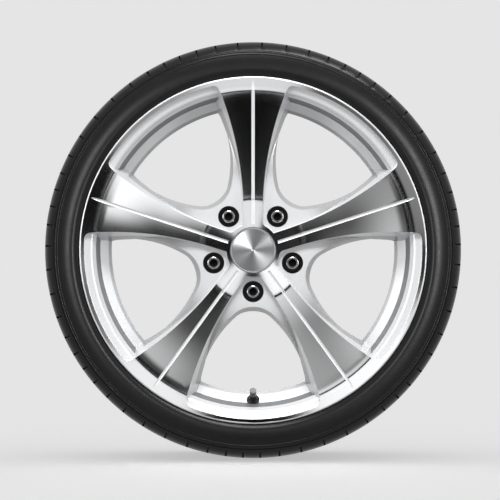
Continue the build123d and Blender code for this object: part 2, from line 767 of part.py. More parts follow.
# Tyre: one section turned about the axle, then the ridges, tread grooves and shoulder slots
crown_r = SEAT_R + SECTION_HEIGHT
tread_half = SECTION_HALF_WIDTH - SHOULDER_WIDTH
tread_edge_r = crown_r - CROWN_DROP
bulge_r = SEAT_R + BULGE_HEIGHT
shoulder_r = SEAT_R + SHOULDER_HEIGHT
shoulder_y = SECTION_HALF_WIDTH - SHOULDER_DROP
bead_curl_r = FLANGE_CURL_R + BEAD_CLEARANCE
bead_heel_r = HEEL_R - BEAD_CLEARANCE
bead_face = flange_face - BEAD_CLEARANCE
lift = radians(BEAD_LIFT_ANGLE)
lift_point = (curl_r + bead_curl_r * sin(lift), curl_y - bead_curl_r * cos(lift))
toe = (SEAT_R + BEAD_CLEARANCE - (BEAD_WIDTH - HEEL_R) * tan(radians(SEAT_TAPER)), flange_face - BEAD_WIDTH)
bead_top = (SEAT_R + BEAD_HEIGHT, flange_face - BEAD_WIDTH / 2)
inner_bulge = (bulge_r, SECTION_HALF_WIDTH - SIDEWALL_THICKNESS)
inner_edge = (tread_edge_r - TREAD_THICKNESS, tread_half)
sidewall_round = ((shoulder_r - bulge_r) ** 2 + SHOULDER_DROP**2) / (2 * SHOULDER_DROP)


def sidewall_y(r):
    """Half width of the tyre at a radius on its upper sidewall."""
    return SECTION_HALF_WIDTH - sidewall_round + sqrt(sidewall_round**2 - (r - bulge_r) ** 2)


def tread_r(y):
    """Radius of the tread at a place across it."""
    return crown_r - CROWN_DROP * (y / tread_half) ** 2


def slot_turn(number):
    """Angle of one shoulder slot. The pitch swells and shrinks round the tyre, which spreads its noise."""
    even = 360 * number / SLOT_COUNT
    swing = degrees(PITCH_SWING / PITCH_WAVES)
    return even + swing * sin(radians(PITCH_WAVES * even + PITCH_PHASE))


def shoulder_point(share, sink=0.0):
    """A corner of the faceted shoulder, from the sidewall at 0 to the sunk tread edge at 1."""
    rise = tread_edge_r - sink - shoulder_r
    run = shoulder_y - tread_half
    turn = 2 * (degrees(atan2(run, rise)) - SHOULDER_TILT)
    radius = hypot(rise, run) / (2 * sin(radians(turn / 2)))
    angle = radians(SHOULDER_TILT + turn * share)
    start = radians(SHOULDER_TILT)
    return (shoulder_r + radius * (sin(angle) - sin(start)), shoulder_y + radius * (cos(angle) - cos(start)))


slot_angle = degrees(SLOT_WIDTH / crown_r)
shoulder = [shoulder_point(i / SHOULDER_FACETS) for i in range(SHOULDER_FACETS + 1)]
slot_floor = [shoulder_point(i / SHOULDER_FACETS, SLOT_DEPTH) for i in range(SHOULDER_FACETS + 1)]

with BuildPart() as slot_cutter:
    with BuildSketch(Plane.XY):
        with BuildLine():
            Polyline(
                *slot_floor,
                (tread_r(SLOT_INNER_PLACE) - SLOT_DEPTH, SLOT_INNER_PLACE),
                (crown_r + SLOT_DEPTH, SLOT_INNER_PLACE),
                (crown_r + SLOT_DEPTH, SECTION_HALF_WIDTH),
                (shoulder_r, SECTION_HALF_WIDTH),
                (shoulder_r, shoulder_y),
            )
        make_face()
    revolve(axis=Axis.Y, revolution_arc=slot_angle)

with BuildPart() as tyre:
    with BuildSketch(Plane.XY):
        with BuildLine():
            crown_edge = (tread_r(CROWN_HALF_WIDTH), CROWN_HALF_WIDTH)
            ThreePointArc(other_side(crown_edge), (crown_r, 0), crown_edge)
            inner_crown = (crown_r - TREAD_THICKNESS, 0)
            ThreePointArc(other_side(inner_edge), inner_crown, inner_edge)
            for side in (-1, 1):
                Polyline(*[(r, side * y) for r, y in shoulder], (crown_edge[0], side * crown_edge[1]))
                TangentArc(
                    (bulge_r, side * SECTION_HALF_WIDTH),
                    (shoulder_r, side * shoulder_y),
                    tangent=(1, 0),
                )
                TangentArc(
                    (lift_point[0], side * lift_point[1]),
                    (bulge_r, side * SECTION_HALF_WIDTH),
                    tangent=(cos(lift), side * sin(lift)),
                )
                ThreePointArc(
                    (lift_point[0], side * lift_point[1]),
                    arc_middle((curl_r, side * curl_y), bead_curl_r, side * (BEAD_LIFT_ANGLE / 2 - 90)),
                    (curl_r, side * bead_face),
                )
                Line((curl_r, side * bead_face), (heel_centre[0], side * bead_face))
                ThreePointArc(
                    (heel_centre[0], side * bead_face),
                    arc_middle((heel_centre[0], side * heel_centre[1]), bead_heel_r, 180 - 45 * side),
                    (SEAT_R + BEAD_CLEARANCE, side * heel_centre[1]),
                )
                Polyline(
                    (SEAT_R + BEAD_CLEARANCE, side * heel_centre[1]),
                    (toe[0], side * toe[1]),
                    (bead_top[0], side * bead_top[1]),
                )
                Line((bead_top[0], side * bead_top[1]), (inner_bulge[0], side * inner_bulge[1]))
                TangentArc(
                    (inner_bulge[0], side * inner_bulge[1]),
                    (inner_edge[0], side * inner_edge[1]),
                    tangent=(1, 0),
                )
        make_face()
    revolve(axis=Axis.Y)
    for height in RIDGE_HEIGHTS:
        ridge_r = SEAT_R + height
        with BuildSketch(Plane.XY):
            with Locations((ridge_r, sidewall_y(ridge_r)), (ridge_r, -sidewall_y(ridge_r))):
                Rectangle(RIDGE_WIDTH, 2 * RIDGE_PROUD)
        revolve(axis=Axis.Y)
    for place in GROOVE_PLACES:
        floor_r = tread_r(place) - TREAD_GROOVE_DEPTH
        half = TREAD_GROOVE_WIDTH / 2
        with BuildSketch(Plane.XY):
            for side in (-1, 1):
                Polygon(
                    (crown_r + TREAD_GROOVE_DEPTH, side * place - half),
                    (crown_r + TREAD_GROOVE_DEPTH, side * place + half),
                    (tread_r(place), side * place + half),
                    (floor_r, side * place + half - TREAD_GROOVE_TAPER),
                    (floor_r, side * place - half + TREAD_GROOVE_TAPER),
                    (tread_r(place), side * place - half),
                    align=None,
                )
        revolve(axis=Axis.Y, mode=Mode.SUBTRACT)
    with Locations(*[Location((0, 0, 0), (0, slot_turn(i), 0)) for i in range(SLOT_COUNT)]):
        add(slot_cutter.part, mode=Mode.SUBTRACT)
    with Locations(*[Location((0, 0, 0), (180, slot_turn(i), 0)) for i in range(SLOT_COUNT)]):
        add(slot_cutter.part, mode=Mode.SUBTRACT)

tyre.part.label = "tyre"
export_step(tyre.part, "parts/tyre.step")

# Valve: heights are measured from the spot face along the valve's own axis
rubber_top = VALVE_RUBBER_HEIGHT
stem_end = rubber_top + STEM_THREAD_LENGTH
bulb_top = -(valve_wall + VALVE_CLEARANCE)
bulb_end = bulb_top - VALVE_BULB_LENGTH
rubber_bore_r = STEM_INSERT_R + BOND_CLEARANCE
core_top = stem_end - CORE_SINK
core_foot = core_top - CORE_LENGTH
cavity_r = CORE_R - CORE_WALL
cavity_foot = core_foot + CORE_END_WALL
cavity_top = core_top - CORE_END_WALL
cup_top = core_foot - PIN_CUP_GAP
collar_top = cavity_top - PIN_CUP_GAP
cap_inner_r = STEM_THREAD_R + VALVE_CAP_FIT
seal_foot = stem_end + CAP_SEAL_GAP
cap_roof = seal_foot + CAP_SEAL_THICKNESS + CAP_SEAL_GAP
cap_end = cap_roof + VALVE_CAP_ROOF
cap_foot = rubber_top + VALVE_CAP_LIFT

with BuildPart() as valve_body:
    with BuildSketch(valve_plane):
        with BuildLine():
            Polyline(
                (rubber_bore_r, bulb_end),
                (VALVE_BULB_END_R, bulb_end),
                (VALVE_BULB_R, bulb_top - VALVE_FLANGE_HEIGHT),
                (VALVE_BULB_R, bulb_top),
                (VALVE_HOLE_R - VALVE_CLEARANCE, bulb_top),
                (VALVE_HOLE_R - VALVE_CLEARANCE, VALVE_CLEARANCE),
                (VALVE_FLANGE_R, VALVE_CLEARANCE),
                (VALVE_FLANGE_R, VALVE_FLANGE_HEIGHT),
                (VALVE_SHOULDER_R, VALVE_SHOULDER_HEIGHT),
                (VALVE_NECK_R, rubber_top),
                (rubber_bore_r, rubber_top),
                (rubber_bore_r, bulb_end),
            )
        make_face()
    revolve(axis=valve_axis)

valve_body.part.label = "valve_body"
export_step(valve_body.part, "parts/valve_body.step")

with BuildPart() as valve_stem:
    with BuildSketch(valve_plane):
        with BuildLine():
            Polyline(
                (STEM_BORE_R, bulb_end + VALVE_FLANGE_HEIGHT),
                (STEM_INSERT_R, bulb_end + VALVE_FLANGE_HEIGHT),
                (STEM_INSERT_R, rubber_top + BOND_CLEARANCE),
                (STEM_THREAD_R, rubber_top + BOND_CLEARANCE),
                (STEM_THREAD_R, stem_end),
                (STEM_BORE_R, stem_end),
                (STEM_BORE_R, bulb_end + VALVE_FLANGE_HEIGHT),
            )
        make_face()
    revolve(axis=valve_axis)

valve_stem.part.label = "valve_stem"
export_step(valve_stem.part, "parts/valve_stem.step")

with BuildPart() as valve_core:
    with BuildSketch(valve_plane):
        with BuildLine():
            Polyline(
                (CORE_BORE_R, core_foot),
                (CORE_R, core_foot),
                (CORE_R, core_top),
                (CORE_BORE_R, core_top),
                (CORE_BORE_R, cavity_top),
                (cavity_r, cavity_top),
                (cavity_r, cavity_foot),
                (CORE_BORE_R, cavity_foot),
                (CORE_BORE_R, core_foot),
            )
        make_face()
    revolve(axis=valve_axis)

valve_core.part.label = "valve_core"
export_step(valve_core.part, "parts/valve_core.step")

with BuildPart() as valve_pin:
    with BuildSketch(valve_plane):
        with BuildLine():
            Polyline(
                (0, cup_top - PIN_CUP_HEIGHT),
                (PIN_CUP_R, cup_top - PIN_CUP_HEIGHT),
                (PIN_CUP_R, cup_top),
                (PIN_R, cup_top),
                (PIN_R, collar_top - PIN_COLLAR_HEIGHT),
                (PIN_COLLAR_R, collar_top - PIN_COLLAR_HEIGHT),
                (PIN_COLLAR_R, collar_top),
                (PIN_R, collar_top),
                (PIN_R, stem_end - PIN_END_SINK),
                (0, stem_end - PIN_END_SINK),
                (0, cup_top - PIN_CUP_HEIGHT),
            )
        make_face()
    revolve(axis=valve_axis)

valve_pin.part.label = "valve_pin"
export_step(valve_pin.part, "parts/valve_pin.step")

# Spring between the core's floor and the pin's collar
spring_foot = cavity_foot + SPRING_WIRE_R + PIN_CUP_GAP
spring_height = collar_top - PIN_COLLAR_HEIGHT - cavity_foot - 2 * (SPRING_WIRE_R + PIN_CUP_GAP)

with BuildPart() as valve_spring:
    with BuildLine() as coil:
        Helix(
            spring_height / SPRING_TURNS,
            spring_height,
            SPRING_MEAN_R,
            center=valve_seat + Vector(valve_way) * spring_foot,
            direction=valve_way,
        )
    with BuildSketch(Plane(coil.line @ 0, z_dir=coil.line % 0)):
        Circle(SPRING_WIRE_R)
    sweep(path=coil.line, is_frenet=True)

valve_spring.part.label = "valve_spring"
export_step(valve_spring.part, "parts/valve_spring.step")

with BuildPart() as valve_cap:
    with BuildSketch(valve_plane) as cap_section:
        with BuildLine():
            Polyline(
                (cap_inner_r, cap_foot),
                (VALVE_CAP_R, cap_foot),
                (VALVE_CAP_R, cap_end),
                (0, cap_end),
                (0, cap_roof),
                (cap_inner_r, cap_roof),
                (cap_inner_r, cap_foot),
            )
        make_face()
        outer_corner = valve_plane.from_local_coords((VALVE_CAP_R, cap_end))
        fillet(cap_section.vertices().sort_by_distance(outer_corner)[0], VALVE_CAP_ROUND)
    revolve(axis=valve_axis)
    with BuildSketch(Plane(valve_seat + Vector(valve_way) * cap_foot, x_dir=(1, 0, 0), z_dir=valve_way)):
        with PolarLocations(VALVE_CAP_R, VALVE_CAP_RIBS):
            Circle(VALVE_CAP_RIB_R)
    extrude(amount=cap_roof - cap_foot, mode=Mode.SUBTRACT)

valve_cap.part.label = "valve_cap"
export_step(valve_cap.part, "parts/valve_cap.step")

with BuildPart() as valve_cap_seal:
    with BuildSketch(Plane(valve_seat + Vector(valve_way) * seal_foot, x_dir=(1, 0, 0), z_dir=valve_way)):
        Circle(cap_inner_r - CAP_SEAL_GAP)
    extrude(amount=CAP_SEAL_THICKNESS)

valve_cap_seal.part.label = "valve_cap_seal"
export_step(valve_cap_seal.part, "parts/valve_cap_seal.step")
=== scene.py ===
import math

import bmesh
import bpy
import numpy as np
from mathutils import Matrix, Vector


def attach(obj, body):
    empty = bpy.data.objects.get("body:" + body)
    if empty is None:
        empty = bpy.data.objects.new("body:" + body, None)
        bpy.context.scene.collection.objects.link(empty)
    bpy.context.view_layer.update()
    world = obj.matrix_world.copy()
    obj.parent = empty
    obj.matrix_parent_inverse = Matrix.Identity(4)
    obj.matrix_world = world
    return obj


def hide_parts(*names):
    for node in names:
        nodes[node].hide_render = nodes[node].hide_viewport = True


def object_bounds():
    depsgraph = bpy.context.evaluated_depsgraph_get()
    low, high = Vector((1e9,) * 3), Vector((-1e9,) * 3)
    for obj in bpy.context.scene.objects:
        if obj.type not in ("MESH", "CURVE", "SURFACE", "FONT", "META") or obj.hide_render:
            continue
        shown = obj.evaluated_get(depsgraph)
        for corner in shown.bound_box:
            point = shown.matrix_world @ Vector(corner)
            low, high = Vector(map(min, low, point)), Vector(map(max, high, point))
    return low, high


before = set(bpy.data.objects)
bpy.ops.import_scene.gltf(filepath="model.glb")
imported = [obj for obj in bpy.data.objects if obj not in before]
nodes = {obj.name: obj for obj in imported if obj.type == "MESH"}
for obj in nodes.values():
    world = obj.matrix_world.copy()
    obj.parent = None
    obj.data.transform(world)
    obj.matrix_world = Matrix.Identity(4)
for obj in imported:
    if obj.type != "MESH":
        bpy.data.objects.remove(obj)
cad_low, cad_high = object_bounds()
scene = bpy.context.scene
scene.view_settings.view_transform = "Standard"

MM = 0.001
FULL_TURN = 360.0

# Wheel: the solid's sizes that tell its faces apart, in millimetres and degrees
SPOKES = 5
HUB_Y = -104.0
HUB_START_R = 36.2
HUB_EDGE_R = 80.0
HUB_TILT = 2.4
HUB_BLEND_REACH = 7.7
SPOKE_START_TILT = 3.5
LIP_START = (249.0, -126.5)
LIP_END_R = 268.6
LIP_TILT = 4.0
LIP_BLEND_MIDDLE = 246.0
LIP_BLEND_REACH = 12.0
FLANGE_R = 271.3
GROOVE_HALF = 1.9
GROOVE_DEPTH = 1.6
GROOVE_START_R = 40.0
GROOVE_END_R = 268.0
STEP_R = 246.0
STEP_FOOT_R = 240.5
STEP_BACK_Y = -60.0
WELL_R = 226.5
POCKET_FLOOR_Y = -96.8
BOLT_CIRCLE_R = 65.0
FIRST_BOLT = 270.0
LUG_BORE_R = 17.1
LUG_BORE_MIDDLE_Y = -75.0
LUG_BORE_HALF = 29.0

# Bolt heads: the solid's sizes, and the tilt of the rounded edge that their ring is shaded as
DIMPLE_R = 6.3
DIMPLE_DEPTH = 5.0
HEAD_CHAMFER = 1.8
RING_R = (6.3, 9.5, 11.2)
RING_TILT = (-6.0, 34.0, 62.0)

# How far a face may stray from those sizes, in millimetres
PROFILE_SLACK = 1.0
HUB_SLACK = 0.2
EDGE_SLACK = 0.1
STEP_SLACK = 0.4

# Least radius to divide by, in millimetres
LEAST_R = 1.0

# Shares of a face's normal: least towards the front or the axle, most round or along the axle
TURNED_FRONT = 0.9
RING_FRONT = 0.3
STEP_INWARD = 0.6
MOST_ROUND = 0.06
MOST_ALONG = 0.99

# Paint: painted shade on the window flanks behind the pockets: where they get darker, and by how much
FLANK_BLEND = (POCKET_FLOOR_Y - 1.0, POCKET_FLOOR_Y + 5.0)
WELL_BLEND = (WELL_R + 0.5, WELL_R + 2.5)
FLANK_SHADE = 0.42

# Textures: the stretch of a noise's values that counts, and the wave texture's own scale
NOISE_SPAN = (0.25, 0.75)
WAVE_SCALE = 20.0


# Materials

class Tree:
    """Short cuts for the node tree of a material or a world."""

    def __init__(self, owner):
        owner.use_nodes = True
        self.tree = owner.node_tree
        self.tree.nodes.clear()

    def node(self, kind, **settings):
        made = self.tree.nodes.new("ShaderNode" + kind)
        for key, value in settings.items():
            setattr(made, key, value)
        return made

    def link(self, source, socket):
        self.tree.links.new(source, socket)

    def calc(self, operation, *values):
        """One operation on numbers and other nodes' outputs."""
        made = self.node("Math", operation=operation)
        for socket, value in zip(made.inputs, values):
            if isinstance(value, (int, float)):
                socket.default_value = value
            else:
                self.link(value, socket)
        return made.outputs[0]

    def step(self, value, low, high):
        """A smooth rise from 0 to 1 as the value goes from low to high."""
        made = self.node("MapRange", interpolation_type="SMOOTHSTEP")
        made.inputs["From Min"].default_value = low
        made.inputs["From Max"].default_value = high
        self.link(value, made.inputs["Value"])
        return made.outputs["Result"]

    def place(self):
        """Object coordinates, in metres."""
        return self.node("TexCoord").outputs["Object"]

    def axes(self):
        """Object coordinates one by one: X, Y and Z."""
        parts = self.node("SeparateXYZ")
        self.link(self.place(), parts.inputs[0])
        return [parts.outputs[axis] for axis in "XYZ"]

    def length(self, across, up):
        squares = [self.calc("MULTIPLY", part, part) for part in (across, up)]
        return self.calc("SQRT", self.calc("ADD", *squares))


class Shader(Tree):
    """A Principled material with a few kinds of detail."""

    def __init__(self, name, color, roughness, metallic=0.0, **sockets):
        self.material = bpy.data.materials.new(name)
        super().__init__(self.material)
        self.color = color
        self.bsdf = self.node("BsdfPrincipled")
        self.link(self.bsdf.outputs["BSDF"], self.node("OutputMaterial").inputs["Surface"])
        self.bsdf.inputs["Base Color"].default_value = (*color, 1.0)
        self.bsdf.inputs["Roughness"].default_value = roughness
        self.bsdf.inputs["Metallic"].default_value = metallic
        for socket, value in sockets.items():
            self.bsdf.inputs[socket.replace("_", " ")].default_value = value

    def noise(self, scale, detail=3.0, rough=0.55):
        made = self.node("TexNoise")
        made.inputs["Scale"].default_value = scale
        made.inputs["Detail"].default_value = detail
        made.inputs["Roughness"].default_value = rough
        self.link(self.place(), made.inputs["Vector"])
        return made.outputs["Fac"]

    def rings(self, period, detail=0.0, distortion=0.0):
        """Circles round the axle, one every period metres."""
        made = self.node("TexWave", wave_type="RINGS", rings_direction="Y")
        made.inputs["Scale"].default_value = math.tau / WAVE_SCALE / period
        made.inputs["Detail"].default_value = detail
        made.inputs["Distortion"].default_value = distortion
        self.link(self.place(), made.inputs["Vector"])
        return made.outputs["Fac"]

    def flakes(self, scale):
        """Small cells of random tones, as in metallic paint."""
        made = self.node("TexVoronoi")
        made.inputs["Scale"].default_value = scale
        self.link(self.place(), made.inputs["Vector"])
        return made.outputs["Color"]

    def vary_color(self, value, low, high):
        """The base colour, multiplied by low to high over the noise's span."""
        ramp = self.node("ValToRGB")
        for element, position, share in zip(ramp.color_ramp.elements, NOISE_SPAN, (low, high)):
            element.position = position
            element.color = (*[min(c * share, 1.0) for c in self.color], 1.0)
        self.link(value, ramp.inputs["Fac"])
        self.link(ramp.outputs["Color"], self.bsdf.inputs["Base Color"])

    def darken(self, share):
        """Takes a share of its light off the varied base colour, as painted shade."""
        made = self.node("VectorMath", operation="SCALE")
        self.link(self.bsdf.inputs["Base Color"].links[0].from_socket, made.inputs[0])
        self.link(self.calc("SUBTRACT", 1.0, share), made.inputs["Scale"])
        self.link(made.outputs[0], self.bsdf.inputs["Base Color"])

    def vary_roughness(self, value, low, high):
        """Roughness from low to high over the noise's span."""
        made = self.node("MapRange")
        made.inputs["From Min"].default_value, made.inputs["From Max"].default_value = NOISE_SPAN
        made.inputs["To Min"].default_value = low
        made.inputs["To Max"].default_value = high
        self.link(value, made.inputs["Value"])
        self.link(made.outputs["Result"], self.bsdf.inputs["Roughness"])

    def bump(self, value, height, strength=1.0, after=None):
        made = self.node("Bump")
        made.inputs["Distance"].default_value = height
        made.inputs["Strength"].default_value = strength
        self.link(value, made.inputs["Height"])
        if after:
            self.link(after.outputs["Normal"], made.inputs["Normal"])
        self.link(made.outputs["Normal"], self.bsdf.inputs["Normal"])
        return made

    def turned(self):
        """Grain that runs in circles round the axle."""
        made = self.node("Tangent", direction_type="RADIAL", axis="Y")
        self.link(made.outputs["Tangent"], self.bsdf.inputs["Tangent"])


def turned_alloy():
    s = Shader("turned_alloy", (0.86, 0.865, 0.875), 0.06, 1.0, Anisotropic=0.2)
    s.turned()
    lines = s.rings(0.0011, detail=2.0, distortion=0.4)
    s.vary_color(lines, 0.965, 1.02)
    s.vary_roughness(lines, 0.05, 0.075)
    s.bump(s.rings(0.0007), 0.0000002)
    return s.material


def silver_paint():
    s = Shader("silver_paint", (0.66, 0.665, 0.675), 0.38, 0.35, Coat_Weight=0.3, Coat_Roughness=0.1)
    s.vary_color(s.flakes(2600.0), 0.93, 1.07)
    # Painted shade: the window flanks deeper than the pocket floors, inside the well, get a darker base
    # colour.
    across, along, up = s.axes()
    flank = s.step(s.calc("DIVIDE", along, MM), *FLANK_BLEND)
    past_well = s.step(s.calc("DIVIDE", s.length(across, up), MM), *WELL_BLEND)
    painted_flank_shade = s.calc("MULTIPLY", flank, s.calc("SUBTRACT", 1.0, past_well))
    s.darken(s.calc("MULTIPLY", painted_flank_shade, FLANK_SHADE))
    s.vary_roughness(s.noise(900.0), 0.31, 0.41)
    fine = s.bump(s.noise(1500.0, 2.0), 0.00002, 0.25)
    s.bump(s.noise(160.0, 2.0), 0.00005, 0.2, after=fine)
    return s.material


def groove_paint():
    s = Shader("groove_paint", (0.6, 0.605, 0.615), 0.4, 0.3, Coat_Weight=0.3, Coat_Roughness=0.15)
    s.vary_color(s.flakes(2600.0), 0.95, 1.05)
    s.vary_roughness(s.noise(900.0), 0.35, 0.45)
    s.bump(s.noise(1500.0, 2.0), 0.00002, 0.25)
    return s.material


# Painted shade: a dark grey on the wall of the rim step, where shade falls.
def step_painted_shade():
    s = Shader("step_painted_shade", (0.17, 0.172, 0.176), 0.45, 0.3, Coat_Weight=0.2, Coat_Roughness=0.2)
    s.vary_color(s.flakes(2600.0), 0.9, 1.1)
    s.vary_roughness(s.noise(900.0), 0.4, 0.52)
    s.bump(s.noise(1500.0, 2.0), 0.00002, 0.25)
    return s.material


# Painted shade: near-black on the walls of the lug bores, where the deep holes fall into shade.
def lug_bore_painted_shade():
    s = Shader("painted_shade_lug_bore", (0.006, 0.006, 0.007), 0.5)
    s.vary_color(s.noise(300.0), 0.6, 1.5)
    s.vary_roughness(s.noise(500.0), 0.42, 0.6)
    s.bump(s.noise(1500.0, 2.0), 0.00003, 0.3)
    return s.material


def spun_metal():
    s = Shader("spun_metal", (0.25, 0.252, 0.256), 0.4, 1.0, Anisotropic=0.86, Anisotropic_Rotation=0.25)
    s.turned()
    lines = s.rings(0.0009, detail=3.0, distortion=0.6)
    s.vary_color(lines, 0.9, 1.06)
    s.vary_roughness(lines, 0.37, 0.43)
    s.bump(s.rings(0.0006), 0.000002)
    return s.material


def cap_paint():
    s = Shader("cap_paint", (0.62, 0.63, 0.645), 0.22, 0.85, Coat_Weight=0.4, Coat_Roughness=0.06)
    s.vary_color(s.flakes(2600.0), 0.94, 1.06)
    s.vary_roughness(s.noise(700.0), 0.18, 0.27)
    s.bump(s.noise(1200.0, 2.0), 0.00002, 0.2)
    return s.material


def black_coating():
    s = Shader("black_coating", (0.008, 0.008, 0.009), 0.34)
    s.vary_color(s.noise(420.0), 0.7, 1.5)
    s.vary_roughness(s.noise(260.0), 0.26, 0.42)
    s.bump(s.noise(1600.0, 3.0), 0.00003, 0.3)
    return s.material


# Painted highlight: a lighter metal on the chamfers of the black heads stands in for the ring of reflected
# light.
def chamfer_painted_highlight():
    s = Shader("chamfer_painted_highlight", (0.3, 0.3, 0.306), 0.16, 1.0)
    s.vary_color(s.noise(500.0), 0.7, 1.15)
    s.vary_roughness(s.noise(900.0), 0.12, 0.24)
    s.bump(s.noise(1400.0, 2.0), 0.00002, 0.2)
    return s.material


# Painted shade: a darker, duller black than the coating, in the hollow ends of the bolt heads.
def bolt_hollow_painted_shade():
    s = Shader("bolt_hollow_painted_shade", (0.003, 0.003, 0.0032), 0.6, Specular_IOR_Level=0.06)
    s.vary_color(s.noise(300.0), 0.6, 1.5)
    s.vary_roughness(s.noise(500.0), 0.5, 0.7)
    s.bump(s.noise(1500.0, 2.0), 0.00003, 0.3)
    return s.material


def tyre_rubber():
    s = Shader("tyre_rubber", (0.0055, 0.0055, 0.0058), 0.4, Specular_IOR_Level=0.17)
    s.vary_color(s.noise(38.0, 5.0, 0.6), 0.82, 1.22)
    s.vary_roughness(s.noise(140.0, 4.0), 0.27, 0.33)
    grain = s.bump(s.noise(2400.0, 3.0, 0.7), 0.00006, 0.35)
    s.bump(s.rings(0.0016), 0.000012, 0.5, after=grain)
    return s.material


# Painted shade: a darker, duller rubber on the walls and floors of the tread grooves and shoulder slots.
def groove_painted_shade_rubber():
    s = Shader("groove_painted_shade_rubber", (0.003, 0.003, 0.0032), 0.7, Specular_IOR_Level=0.08)
    s.vary_color(s.noise(60.0, 4.0), 0.7, 1.3)
    s.vary_roughness(s.noise(140.0, 4.0), 0.62, 0.78)
    s.bump(s.noise(2400.0, 3.0, 0.7), 0.00006, 0.35)
    return s.material


def tread_rubber():
    s = Shader("tread_rubber", (0.0055, 0.0055, 0.0058), 0.7, Specular_IOR_Level=0.1)
    s.vary_color(s.noise(38.0, 5.0, 0.6), 0.82, 1.22)
    s.vary_roughness(s.noise(140.0, 4.0), 0.64, 0.76)
    s.bump(s.noise(2400.0, 3.0, 0.7), 0.00006, 0.35)
    return s.material


def valve_rubber():
    s = Shader("valve_rubber", (0.006, 0.006, 0.0065), 0.42, Specular_IOR_Level=0.3)
    s.vary_color(s.noise(300.0), 0.8, 1.3)
    s.vary_roughness(s.noise(600.0), 0.34, 0.5)
    s.bump(s.noise(2200.0, 3.0), 0.00003, 0.3)
    return s.material


def grey_plastic():
    s = Shader("grey_plastic", (0.14, 0.143, 0.15), 0.4)
    s.vary_color(s.noise(700.0), 0.85, 1.15)
    s.vary_roughness(s.noise(900.0), 0.34, 0.48)
    s.bump(s.noise(2600.0, 3.0), 0.00002, 0.3)
    return s.material


def brass():
    s = Shader("brass", (0.72, 0.52, 0.22), 0.28, 1.0)
    s.vary_color(s.noise(800.0), 0.85, 1.08)
    s.vary_roughness(s.noise(1200.0), 0.2, 0.36)
    s.bump(s.noise(2600.0, 2.0), 0.00001, 0.3)
    return s.material


def spring_steel():
    s = Shader("spring_steel", (0.5, 0.5, 0.52), 0.3, 1.0)
    s.vary_color(s.noise(900.0), 0.8, 1.1)
    s.vary_roughness(s.noise(1300.0), 0.22, 0.38)
    s.bump(s.noise(2600.0, 2.0), 0.00001, 0.3)
    return s.material


# Dressing of the solids

def dress(node, *materials):
    """Puts materials in a node's slots, the first on all its faces."""
    mesh = nodes[node].data
    mesh.materials.clear()
    for material in materials:
        mesh.materials.append(material)
    mesh.polygons.foreach_set("material_index", [0] * len(mesh.polygons))
    return mesh


def loop_arrays(mesh):
    """Vertex places in millimetres, each polygon's first corner and count, and each corner's vertex."""
    co = np.empty(len(mesh.vertices) * 3)
    mesh.vertices.foreach_get("co", co)
    start = np.empty(len(mesh.polygons), int)
    total = np.empty(len(mesh.polygons), int)
    corner = np.empty(len(mesh.loops), int)
    mesh.polygons.foreach_get("loop_start", start)
    mesh.polygons.foreach_get("loop_total", total)
    mesh.loops.foreach_get("vertex_index", corner)
    return co.reshape(-1, 3) / MM, start, total, corner


def face_vectors(mesh, key):
    """One vector of each polygon: its normal or its centre."""
    values = np.empty(len(mesh.polygons) * 3)
    mesh.polygons.foreach_get(key, values)
    return values.reshape(-1, 3)


def corner_range(values, corner, start):
    """The least and the greatest of the vertices' values in each polygon."""
    return np.minimum.reduceat(values[corner], start), np.maximum.reduceat(values[corner], start)


def leaning(tilt, away):
    """Normals towards the front, tilted by angles in radians along directions in X and Z."""
    return np.stack([np.sin(tilt) * away[:, 0], -np.cos(tilt), np.sin(tilt) * away[:, 1]], 1)


def shade(mesh, looks, corners, exact):
    """Gives sets of polygons their materials, where a later set wins, and some corners exact normals."""
    slots = list(mesh.materials)
    index = np.zeros(len(mesh.polygons), int)
    for material, chosen in looks:
        index[chosen] = slots.index(material)
    mesh.polygons.foreach_set("material_index", index)
    mesh.polygons.foreach_set("use_smooth", [True] * len(mesh.polygons))
    given = np.empty(len(mesh.loops) * 3)
    mesh.corner_normals.foreach_get("vector", given)
    given = given.reshape(-1, 3)
    given[corners] = exact[corners]
    mesh.normals_split_custom_set(given)


# Turned face: a hub cone, a hollow arc along the spokes and a lip, blended as on the solid

hub_tilt = math.radians(HUB_TILT)
lip_tilt = math.radians(LIP_TILT)
chord = math.hypot(LIP_START[0] - HUB_EDGE_R, LIP_START[1] - HUB_Y)
chord_tilt = math.asin((HUB_Y - LIP_START[1]) / chord)
spoke_start = math.radians(SPOKE_START_TILT)
spoke_end = 2 * chord_tilt - spoke_start
spoke_r = chord / (2 * math.sin(chord_tilt - spoke_start))


def spoke_angle(r):
    """Angle of the arc along the spokes, in radians."""
    return np.arcsin(np.clip(math.sin(spoke_start) + (r - HUB_EDGE_R) / spoke_r, -1, 1))


def face_slope(r):
    """Angle of the turned face's profile, in radians: over 0 where it faces away from the axle."""
    slope = np.where(r < HUB_EDGE_R, hub_tilt, np.where(r > LIP_BLEND_MIDDLE, lip_tilt, -spoke_angle(r)))
    blends = (
        (HUB_EDGE_R, HUB_BLEND_REACH, hub_tilt, -spoke_start),
        (LIP_BLEND_MIDDLE, LIP_BLEND_REACH, -spoke_end, lip_tilt),
    )
    for middle, reach, before, after in blends:
        share = (r - middle + reach) / (2 * reach)
        slope = np.where((share > 0) & (share < 1), before + (after - before) * share, slope)
    return slope


def face_y(r):
    """Place along the axle of the turned face, without its blends."""
    hub = HUB_Y - (HUB_EDGE_R - r) * math.tan(hub_tilt)
    lip = LIP_START[1] + (r - LIP_START[0]) * math.tan(lip_tilt)
    spoke = HUB_Y - spoke_r * (math.cos(spoke_start) - np.cos(spoke_angle(r)))
    return np.where(r < HUB_EDGE_R, hub, np.where(r > LIP_START[0], lip, spoke))


